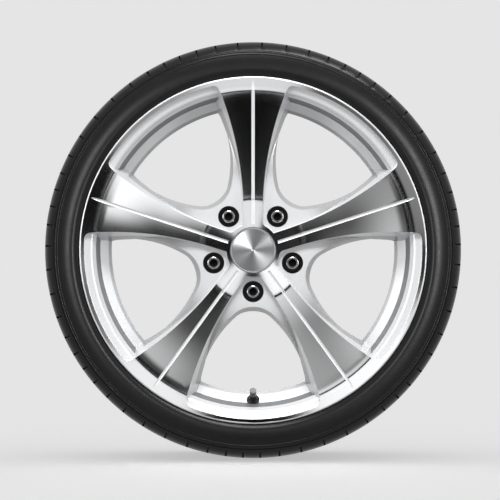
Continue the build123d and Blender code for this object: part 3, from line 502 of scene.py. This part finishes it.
def dress_wheel():
    """Turned metal in front, painted grooves, painted shade that is dark on the rim step and black in the
    lug bores, and silver on the rest.
    """
    turned_look, groove_look = turned_alloy(), groove_paint()
    bore_shade_look, step_shade_look = lug_bore_painted_shade(), step_painted_shade()
    mesh = dress("alloy_wheel", silver_paint(), turned_look, groove_look, bore_shade_look, step_shade_look)
    co, start, total, corner = loop_arrays(mesh)
    r = np.hypot(co[:, 0], co[:, 2])
    low_r, high_r = corner_range(r, corner, start)
    worst_off = corner_range(np.abs(co[:, 1] - face_y(r)), corner, start)[1]
    normal = face_vectors(mesh, "normal")
    centre = face_vectors(mesh, "center") / MM
    centre_r = np.hypot(centre[:, 0], centre[:, 2])
    away = centre[:, [0, 2]] / np.maximum(centre_r, LEAST_R)[:, None]
    outward = normal[:, 0] * away[:, 0] + normal[:, 2] * away[:, 1]
    round_axle = normal[:, 0] * away[:, 1] - normal[:, 2] * away[:, 0]
    turned = (
        (worst_off < PROFILE_SLACK)
        & (low_r > HUB_START_R - HUB_SLACK)
        & (high_r < FLANGE_R + EDGE_SLACK)
        & (normal[:, 1] < -TURNED_FRONT)
        & (np.abs(round_axle) < MOST_ROUND)
    )
    step = math.tau / SPOKES
    angle = np.arctan2(centre[:, 0], centre[:, 2])
    from_spoke = np.abs((angle + step / 2) % step - step / 2) * centre_r
    groove = (
        ~turned
        & (from_spoke < GROOVE_HALF)
        & (centre[:, 1] < face_y(centre_r) + GROOVE_DEPTH)
        & (centre_r > GROOVE_START_R)
        & (centre_r < GROOVE_END_R)
    )
    along_lug = np.cos(angle % step - step / 2) * centre_r
    lug_r_squared = centre_r**2 + BOLT_CIRCLE_R**2 - 2 * BOLT_CIRCLE_R * along_lug
    # Painted shade: the walls of the lug bores get the near-black bore paint.
    bore = (
        (lug_r_squared < LUG_BORE_R**2)
        & (np.abs(centre[:, 1] - LUG_BORE_MIDDLE_Y) < LUG_BORE_HALF)
        & (np.abs(normal[:, 1]) < MOST_ALONG)
    )
    # Painted shade: the wall of the rim step, which faces the axle, gets the dark step paint.
    painted_shade_step_wall = (
        (low_r > STEP_FOOT_R - STEP_SLACK)
        & (high_r < STEP_R + STEP_SLACK)
        & (outward < -STEP_INWARD)
        & (centre[:, 1] < STEP_BACK_Y)
    )
    looks = ((step_shade_look, painted_shade_step_wall), (groove_look, groove), (bore_shade_look, bore), (turned_look, turned))
    place_r = np.maximum(r, LEAST_R)
    exact = leaning(face_slope(place_r), co[:, [0, 2]] / place_r[:, None])
    on_face = np.repeat(turned, total) & (place_r[corner] < LIP_END_R)
    shade(mesh, looks, on_face, exact[corner])


def dress_bolts(black):
    """Black bolts, each with a hollow end painted darker as shade and a ring painted as a lighter metal for
    its highlight, shaded as a rounded edge, on its head.
    """
    ring_highlight_look, hollow_shade_look = chamfer_painted_highlight(), bolt_hollow_painted_shade()
    mesh = dress("lug_bolts", black, ring_highlight_look, hollow_shade_look)
    co, start, total, corner = loop_arrays(mesh)
    turns = np.radians(FIRST_BOLT + FULL_TURN / SPOKES * np.arange(SPOKES))
    axes = BOLT_CIRCLE_R * np.stack([np.cos(turns), np.sin(turns)], 1)
    flat = co[:, [0, 2]]
    nearest = np.argmin(np.linalg.norm(flat[:, None] - axes[None], axis=2), 1)
    out = flat - axes[nearest]
    r = np.linalg.norm(out, axis=1)
    low_r, high_r = corner_range(r, corner, start)
    deepest = corner_range(co[:, 1] - co[:, 1].min(), corner, start)[1]
    faces_front = face_vectors(mesh, "normal")[:, 1] < -RING_FRONT
    # Painted highlight on the chamfer ring, and painted shade in the hollow end.
    ring = faces_front & (low_r > DIMPLE_R - EDGE_SLACK) & (deepest < HEAD_CHAMFER + EDGE_SLACK)
    hollow = (high_r < DIMPLE_R + EDGE_SLACK) & (deepest < DIMPLE_DEPTH + EDGE_SLACK)
    tilt = np.radians(np.interp(r, RING_R, RING_TILT))
    exact = leaning(tilt, out / np.maximum(r, EDGE_SLACK)[:, None])
    shade(mesh, ((ring_highlight_look, ring), (hollow_shade_look, hollow)), np.repeat(ring, total), exact[corner])


def dress_small_parts(black):
    """One material each on the cap, the bolt seats and the valve's pieces."""
    steel, rubber, metal = spring_steel(), valve_rubber(), brass()
    looks = {
        "lug_bolt_seats": black,
        "centre_cap": cap_paint(),
        "centre_cap_disc": spun_metal(),
        "centre_cap_ring": steel,
        "valve_body": rubber,
        "valve_stem": metal,
        "valve_core": metal,
        "valve_pin": metal,
        "valve_spring": steel,
        "valve_cap": grey_plastic(),
        "valve_cap_seal": rubber,
    }
    for node, material in looks.items():
        dress(node, material)


# Tyre: a finer mesh of the solid's section, in millimetres and degrees, with rounded edges and a fine groove

CROWN_R = 330.5
CROWN_DROP = 4.2
TREAD_HALF = 96.0
TREAD_GROOVES = (24.0, 60.0)
TREAD_GROOVE_TOP = 5.0
TREAD_GROOVE_FLOOR = 3.5
TREAD_GROOVE_DEPTH = 7.5
EDGE_RUN, EDGE_DROP = 0.6, 0.5
CORNER_RUN, CORNER_RISE = 0.3, 0.6
CROWN_ROWS = (0.0, 6.0, 12.0)
BLOCK_ROWS = (36.0, 42.0, 48.0)
SHOULDER = (312.0, 122.4)
SHOULDER_TILT = 35.0
SHOULDER_STEPS = 12
SLOT_COUNT = 62
SLOT_DEPTH = 6.5
SLOT_INNER = 74.0
SLOT_WIDTH = 2.8
SLOT_ROWS = (SLOT_INNER, 78.0, 84.0, 90.0)
SLOT_END_RUN = 0.1
SLOT_WALL_TURN = 0.04
SLOT_FILLERS = 4
PITCH_WAVES, PITCH_SWING, PITCH_PHASE = 7, 0.19, 117.0
FINE_GROOVE_R, FINE_GROOVE_HALF, FINE_GROOVE_DEPTH = 311.0, 0.55, 0.9
RIDGES = (309.0, 305.5)
RIDGE_HALF, RIDGE_PROUD = 0.8, 0.7
RIDGE_FOOT, RIDGE_SIDE, RIDGE_TOP = 0.1, 0.15, 0.45
BULGE = (284.5, 130.0)
SIDEWALL_TOP_R, SIDEWALL_ROWS = 302.0, 8
LOWER_ARC_R, LOWER_ARC_STEPS, LIFT = 14.46, 7, 70.0
CURL, CURL_R, CURL_STEPS = (261.8, 123.8), 9.7, 4
HEEL, HEEL_R, HEEL_ROWS = (260.5, 107.8), 6.3, 4
TOE = (253.06, 94.8)
BEAD_TOP = (274.0, 104.55)
INNER_BULGE = (284.5, 120.5)
INNER_EDGE = (309.8, 96.0)
INNER_SIDE_STEPS = 5
INNER_CROWN_R, INNER_CROWN_STEPS = 314.0, 4
LEAST_SUNK = 0.3
LEAST_SKIN = 1.0
SHARP_ANGLE = 33.0


def tread_r(half):
    """Radius of the tread at a half width."""
    return CROWN_R - CROWN_DROP * (half / TREAD_HALF) ** 2


def bulge_half(r, widest, end):
    """Half width at a radius, on an arc from its widest point to its end."""
    drop = widest[1] - end[1]
    rise = end[0] - widest[0]
    bend = (rise**2 + drop**2) / (2 * drop)
    return widest[1] - bend + math.sqrt(bend**2 - (r - widest[0]) ** 2)


def sidewall(r):
    """Half width of the upper sidewall at a radius."""
    return bulge_half(r, BULGE, SHOULDER)


def shoulder_point(share, sink):
    """A point of the round shoulder, from the sidewall at 0 to the sunk tread edge at 1."""
    rise = CROWN_R - CROWN_DROP - sink - SHOULDER[0]
    run = SHOULDER[1] - TREAD_HALF
    start = math.radians(SHOULDER_TILT)
    turn = 2 * (math.atan2(run, rise) - start)
    bend = math.hypot(rise, run) / (2 * math.sin(turn / 2))
    angle = start + turn * share
    r = SHOULDER[0] + bend * (math.sin(angle) - math.sin(start))
    return r, SHOULDER[1] + bend * (math.cos(angle) - math.cos(start))


def arc(centre, radius, angles):
    """Points round a centre, at 0 degrees away from the axle and at 90 along it."""
    turns = [math.radians(angle) for angle in angles]
    return [(centre[0] + radius * math.cos(t), centre[1] + radius * math.sin(t)) for t in turns]


def tread_rows(halves):
    return [(tread_r(half), half) for half in halves]


def tread_groove(place):
    """Rows across one tread groove, with rounded edges and floor corners."""
    top = tread_r(place)
    floor = top - TREAD_GROOVE_DEPTH
    wall = [
        (TREAD_GROOVE_FLOOR - CORNER_RUN, floor),
        (TREAD_GROOVE_FLOOR + CORNER_RUN, floor + CORNER_RISE),
        (TREAD_GROOVE_TOP, top - EDGE_DROP),
    ]
    before = [(r, place - reach) for reach, r in wall[::-1]]
    after = [(r, place + reach) for reach, r in wall]
    edge = TREAD_GROOVE_TOP + EDGE_RUN
    return [*tread_rows([place - edge]), *before, (floor, place), *after, *tread_rows([place + edge])]


def upper_sidewall():
    """Rows from the fine groove over the ridges to the widest place."""
    slant = FINE_GROOVE_HALF / 2
    rows = []
    for reach, sink in (
        (FINE_GROOVE_HALF, 0.0),
        (slant, FINE_GROOVE_DEPTH),
        (-slant, FINE_GROOVE_DEPTH),
        (-FINE_GROOVE_HALF, 0.0),
    ):
        r = FINE_GROOVE_R + reach
        rows.append((r, sidewall(r) - sink))
    for ridge in RIDGES:
        foot, base = RIDGE_HALF + RIDGE_FOOT, sidewall(ridge)
        side = (RIDGE_HALF - RIDGE_SIDE, base + RIDGE_PROUD - RIDGE_SIDE)
        top = (RIDGE_HALF - RIDGE_TOP, base + RIDGE_PROUD)
        rows.append((ridge + foot, sidewall(ridge + foot)))
        rows += [(ridge + reach, half) for reach, half in (side, top)]
        rows += [(ridge - reach, half) for reach, half in (top, side)]
        rows.append((ridge - foot, sidewall(ridge - foot)))
    return rows + [(r, sidewall(r)) for r in np.linspace(SIDEWALL_TOP_R, BULGE[0], SIDEWALL_ROWS)]


def bead_and_inside():
    """Rows from below the widest place round the bead and up inside to the crown."""
    rows = arc(
        (BULGE[0], BULGE[1] - LOWER_ARC_R),
        LOWER_ARC_R,
        np.linspace(90, 90 + LIFT, LOWER_ARC_STEPS + 1)[1:],
    )
    rows += arc(CURL, CURL_R, np.linspace(LIFT - 90, -90, CURL_STEPS + 1)[1:])
    rows += arc(HEEL, HEEL_R, np.linspace(90, 180, HEEL_ROWS))
    rows += [TOE, BEAD_TOP, INNER_BULGE]
    for r in np.linspace(INNER_BULGE[0], INNER_EDGE[0], INNER_SIDE_STEPS + 1)[1:]:
        rows.append((r, bulge_half(r, INNER_BULGE, INNER_EDGE)))
    drop = INNER_CROWN_R - INNER_EDGE[0]
    for half in np.linspace(INNER_EDGE[1], 0, INNER_CROWN_STEPS + 1)[1:]:
        rows.append((INNER_CROWN_R - drop * (half / INNER_EDGE[1]) ** 2, half))
    return rows


def half_section():
    """Rows from the crown to the inner crown: radius and half width, on the surface and in a slot."""
    inner_groove, outer_groove = (tread_groove(place) for place in TREAD_GROOVES)
    tread = tread_rows(CROWN_ROWS) + inner_groove + tread_rows(BLOCK_ROWS) + outer_groove
    tread += tread_rows([SLOT_INNER - SLOT_END_RUN])
    slotted = [(tread_r(half), half, tread_r(half) - SLOT_DEPTH, half) for half in SLOT_ROWS]
    for i in range(SHOULDER_STEPS, -1, -1):
        share = i / SHOULDER_STEPS
        slotted.append(shoulder_point(share, 0.0) + shoulder_point(share, SLOT_DEPTH))
    below = upper_sidewall() + bead_and_inside()
    return [row * 2 for row in tread] + slotted + [row * 2 for row in below]


def slot_turn(number):
    """Angle of one shoulder slot in degrees, with the same uneven pitch as the solid's."""
    even = FULL_TURN * number / SLOT_COUNT
    swing = math.degrees(PITCH_SWING / PITCH_WAVES)
    return even + swing * math.sin(math.radians(PITCH_WAVES * even + PITCH_PHASE))


def tyre_columns():
    """The columns' angles outboard and inboard, in radians, and which columns lie in a slot."""
    width = math.degrees(SLOT_WIDTH / CROWN_R)
    outboard = [slot_turn(i) for i in range(SLOT_COUNT + 1)]
    inboard = [FULL_TURN - slot_turn(SLOT_COUNT - i) - width for i in range(SLOT_COUNT + 1)]
    walls = ((0.0, False), (SLOT_WALL_TURN, True), (width - SLOT_WALL_TURN, True), (width, False))
    columns = []
    for i in range(SLOT_COUNT):
        columns += [(outboard[i] + along, inboard[i] + along, in_slot) for along, in_slot in walls]
        for share in np.linspace(0, 1, SLOT_FILLERS + 2)[1:-1]:
            ends = [(side[i] + width) * (1 - share) + side[i + 1] * share for side in (outboard, inboard)]
            columns.append((*ends, False))
    outboard, inboard, in_slot = (np.array(column) for column in zip(*columns))
    return np.radians(outboard), np.radians(inboard), in_slot


def make_tyre():
    """The moulded tyre: glossy sidewalls, a matte tread, and darker rubber as painted shade in its grooves
    and slots.
    """
    half = half_section()
    section = [(r, -w, floor, -floor_w) for r, w, floor, floor_w in half] + half[-2:0:-1]
    outboard, inboard, in_slot = tyre_columns()
    count, rows = len(outboard), len(section)
    points = np.empty((rows, count, 3))
    for i, (r, y, floor, floor_y) in enumerate(section):
        share = min(max((y + SLOT_INNER) / (2 * SLOT_INNER), 0.0), 1.0)
        angle = outboard * (1 - share) + inboard * share
        radius = np.where(in_slot, floor, r)
        along = np.where(in_slot, floor_y, y)
        points[i] = np.stack([radius * np.cos(angle), along, radius * np.sin(angle)], 1)
    looks = [tyre_rubber(), groove_painted_shade_rubber(), tread_rubber()]
    on_side, deep_shade, on_tread = range(len(looks))
    by_slot = in_slot | np.roll(in_slot, -1)
    faces, index = [], []
    for i in range(rows):
        a, b = i * count, (i + 1) % rows * count
        faces += [(a + j, a + (j + 1) % count, b + (j + 1) % count, b + j) for j in range(count)]
        ends = section[i], section[(i + 1) % rows]
        outside = all(r > INNER_CROWN_R + LEAST_SKIN for r, _, _, _ in ends)
        across_tread = outside and all(abs(y) < TREAD_HALF + EDGE_SLACK for _, y, _, _ in ends)
        below_tread = all(abs(y) < TREAD_HALF and r < tread_r(y) - LEAST_SUNK for r, y, _, _ in ends)
        sunk = any(r - floor > LEAST_SUNK for r, _, floor, _ in ends)
        plain = deep_shade if outside and below_tread else on_tread if across_tread else on_side
        index += [deep_shade if sunk and slot else plain for slot in by_slot]
    mesh = bpy.data.meshes.new("tyre_mesh")
    mesh.from_pydata((points.reshape(-1, 3) * MM).tolist(), [], faces)
    work = bmesh.new()
    work.from_mesh(mesh)
    bmesh.ops.recalc_face_normals(work, faces=work.faces)
    work.to_mesh(mesh)
    work.free()
    mesh.polygons.foreach_set("use_smooth", [True] * len(mesh.polygons))
    mesh.set_sharp_from_angle(angle=math.radians(SHARP_ANGLE))
    for material in looks:
        mesh.materials.append(material)
    mesh.polygons.foreach_set("material_index", index)
    return add_piece("tyre_moulded", mesh, "tyre")


def add_piece(name, mesh, node):
    """A visual piece that stands in for a node and moves with the wheel."""
    made = bpy.data.objects.new(name, mesh)
    scene.collection.objects.link(made)
    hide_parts(node)
    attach(made, "wheel")
    return made


black = black_coating()
dress_wheel()
dress_bolts(black)
dress_small_parts(black)
tyre = make_tyre()

# Stage, in metres and degrees

BACKGROUND = 0.783
WORLD_LIGHT = 0.36
FLOOR_TONE = 0.85
FLOOR_REACH = 40.0
SCREEN_DISTANCE = 12.0
SCREEN_REACH = 28.0
SCREEN_SIDES = 96
NEAR_DEG, MIDDLE_DEG, FAR_DEG = 5.0, 11.0, 17.0
LENS_DEG = (0.7, 2.2)
CAMERA_PLACE = (-0.0048, -4.626, 0.0002)
CAMERA_LENS_MM = 207.8
SENSOR_MM = 36.0

# The reflection screen's tones: degrees counter-clockwise from the right, then near, middle and far
SECTORS = (
    (0, 0.01, 0.02, 0.02),
    (7, 0.012, 0.2, 0.3),
    (30, 0.012, 0.25, 0.35),
    (40, 0.005, 0.07, 0.6),
    (54, 0.005, 0.06, 0.5),
    (68, 0.005, 0.04, 0.22),
    (76, 0.92, 0.8, 0.8),
    (104, 0.92, 0.8, 0.8),
    (112, 0.8, 0.4, 0.4),
    (126, 0.8, 0.28, 0.36),
    (140, 0.75, 0.3, 0.6),
    (148, 0.006, 0.006, 0.01),
    (176, 0.006, 0.006, 0.01),
    (184, 0.006, 0.2, 0.62),
    (196, 0.005, 0.06, 0.45),
    (200, 0.005, 0.1, 0.36),
    (212, 0.01, 0.22, 0.3),
    (221, 1.05, 1.0, 1.0),
    (247, 1.05, 1.0, 1.0),
    (255, 0.005, 0.005, 0.005),
    (285, 0.005, 0.005, 0.005),
    (293, 1.2, 1.1, 1.1),
    (325, 1.2, 1.2, 1.2),
    (332, 0.4, 1.1, 1.25),
    (340, 0.02, 0.6, 1.25),
    (345, 0.01, 0.05, 1.0),
    (350, 0.01, 0.02, 0.05),
    (354, 0.01, 0.02, 0.02),
)


def add_stage(name, points, material):
    """A flat stage piece of one face."""
    mesh = bpy.data.meshes.new(name)
    mesh.from_pydata(points, [], [tuple(range(len(points)))])
    mesh.materials.append(material)
    made = bpy.data.objects.new(name, mesh)
    scene.collection.objects.link(made)
    return made


def screen_r(degrees):
    """Distance from the screen's middle that the wheel's centre sees at an angle to the axle."""
    return SCREEN_DISTANCE * math.tan(math.radians(degrees))


def sector_tones(tree, turn, column):
    """The screen's tone round its middle, from one column of the sectors."""
    ramp = tree.node("ValToRGB")
    tree.link(turn, ramp.inputs["Fac"])
    elements = ramp.color_ramp.elements
    elements.remove(elements[-1])
    for row in SECTORS[1:]:
        elements.new(row[0] / FULL_TURN)
    elements.new(1.0)
    for element, row in zip(elements, (*SECTORS, SECTORS[0])):
        element.color = (row[column], row[column], row[column], 1)
    return ramp.outputs["Color"]


def screen_look():
    """Light and dark sectors, with a dark round spot in the middle where the camera stands."""
    material = bpy.data.materials.new("reflection_screen")
    tree = Tree(material)
    across, _, up = tree.axes()
    angle = tree.calc("ARCTAN2", up, across)
    turn = tree.calc("FRACT", tree.calc("DIVIDE", angle, math.tau))
    away = tree.length(across, up)
    tone, middle, far = (sector_tones(tree, turn, column) for column in (1, 2, 3))
    for start, end, further in ((NEAR_DEG, MIDDLE_DEG, middle), (MIDDLE_DEG, FAR_DEG, far)):
        mix = tree.node("Mix", data_type="RGBA")
        before, after = (socket for socket in mix.inputs if socket.type == "RGBA")
        tree.link(tree.step(away, screen_r(start), screen_r(end)), mix.inputs["Factor"])
        tree.link(tone, before)
        tree.link(further, after)
        tone = next(socket for socket in mix.outputs if socket.type == "RGBA")
    glow = tree.node("Emission")
    tree.link(tone, glow.inputs["Color"])
    tree.link(tree.step(away, *map(screen_r, LENS_DEG)), glow.inputs["Strength"])
    tree.link(glow.outputs[0], tree.node("OutputMaterial").inputs["Surface"])
    return material


def add_screen():
    """A large disc far in front of the wheel that the turned face mirrors, seen only in reflections."""
    reach = screen_r(SCREEN_REACH)
    turns = [math.tau * i / SCREEN_SIDES for i in range(SCREEN_SIDES)]
    points = [(reach * math.cos(t), 0, reach * math.sin(t)) for t in turns]
    made = add_stage("reflection_screen", points, screen_look())
    made.location.y = -SCREEN_DISTANCE
    made.visible_camera = False
    made.visible_diffuse = False
    made.visible_shadow = False
    made.visible_transmission = False


def add_floor():
    """A floor of the background's tone, which the wheel neither mirrors nor takes light from."""
    look = Shader(
        "floor",
        (FLOOR_TONE, FLOOR_TONE, FLOOR_TONE),
        roughness=1.0,
        Specular_IOR_Level=0.0,
        Emission_Color=(1, 1, 1, 1),
        Emission_Strength=BACKGROUND - FLOOR_TONE * WORLD_LIGHT,
    )
    sides = ((-1, -1), (1, -1), (1, 1), (-1, 1))
    points = [(FLOOR_REACH * x, FLOOR_REACH * y, 0) for x, y in sides]
    made = add_stage("floor", points, look.material)
    made.location.z = cad_low.z
    made.visible_glossy = False
    made.visible_diffuse = False


def add_world():
    """The background's tone where it is seen, and a lower light on what it lights."""
    world = bpy.data.worlds.new("studio")
    scene.world = world
    tree = Tree(world)
    path = tree.node("LightPath")
    seen = tree.calc("MAXIMUM", path.outputs["Is Camera Ray"], path.outputs["Is Glossy Ray"])
    seen = tree.calc("MAXIMUM", seen, path.outputs["Is Transmission Ray"])
    mix = tree.node("MixShader")
    tree.link(seen, mix.inputs["Fac"])
    for tone, socket in zip((WORLD_LIGHT, BACKGROUND), mix.inputs[1:]):
        shown = tree.node("Background")
        shown.inputs["Color"].default_value = (tone, tone, tone, 1)
        tree.link(shown.outputs[0], socket)
    tree.link(mix.outputs[0], tree.node("OutputWorld").inputs["Surface"])


def lit_by(name, objects):
    """A collection of the objects that some lamps light."""
    made = bpy.data.collections.new(name)
    for each in objects:
        made.objects.link(each)
    return made


def add_lamp(name, place, aim, size, power, lit):
    """A rectangular lamp, with its power in watts, that lights one collection."""
    data = bpy.data.lights.new(name, "AREA")
    data.shape = "RECTANGLE"
    data.size, data.size_y = size
    data.energy = power
    made = bpy.data.objects.new(name, data)
    made.location = place
    made.rotation_euler = (Vector(aim) - Vector(place)).to_track_quat("-Z", "Y").to_euler()
    scene.collection.objects.link(made)
    made.light_linking.receiver_collection = lit


def add_lamps():
    """Three lamps for the solids, three for the tyre and two for the cap's spun disc."""
    disc = nodes["centre_cap_disc"]
    solids = lit_by("lit_by_lamps", [node for node in nodes.values() if node != disc])
    add_lamp("lamp_top", (0.0, -1.9, 2.4), (0, 0, 0.1), (1.4, 0.8), 125.0, solids)
    add_lamp("lamp_right", (2.4, -1.5, 0.3), (0.1, 0, 0), (0.6, 1.6), 24.0, solids)
    add_lamp("lamp_left", (-2.4, -1.5, 0.3), (-0.1, 0, 0), (0.6, 1.6), 30.0, solids)
    moulded = lit_by("lit_by_tyre_lamps", [tyre])
    add_lamp("tyre_left", (-1.1, -3.4, 0.35), (-0.28, 0, 0), (0.2, 1.2), 40.0, moulded)
    add_lamp("tyre_right", (1.15, -3.4, 0.35), (0.28, 0, 0), (0.2, 1.2), 60.0, moulded)
    add_lamp("tyre_top", (0.5, -1.0, 2.6), (0, 0, 0.3), (2.4, 0.8), 110.0, moulded)
    spun = lit_by("lit_by_cap_lamps", [disc])
    add_lamp("cap_left", (-0.75, -1.35, 0.7), (0, 0, 0), (0.75, 0.75), 56.0, spun)
    add_lamp("cap_right", (0.87, -1.35, 0.55), (0, 0, 0), (0.5, 0.5), 12.0, spun)


def add_camera():
    """A long lens, square to the wheel's face."""
    data = bpy.data.cameras.new("camera")
    data.sensor_width = SENSOR_MM
    data.lens = CAMERA_LENS_MM
    made = bpy.data.objects.new("camera", data)
    made.location = CAMERA_PLACE
    made.rotation_euler = (math.radians(90), 0, 0)
    scene.collection.objects.link(made)
    scene.camera = made


add_screen()
add_floor()
add_world()
add_lamps()
add_camera()
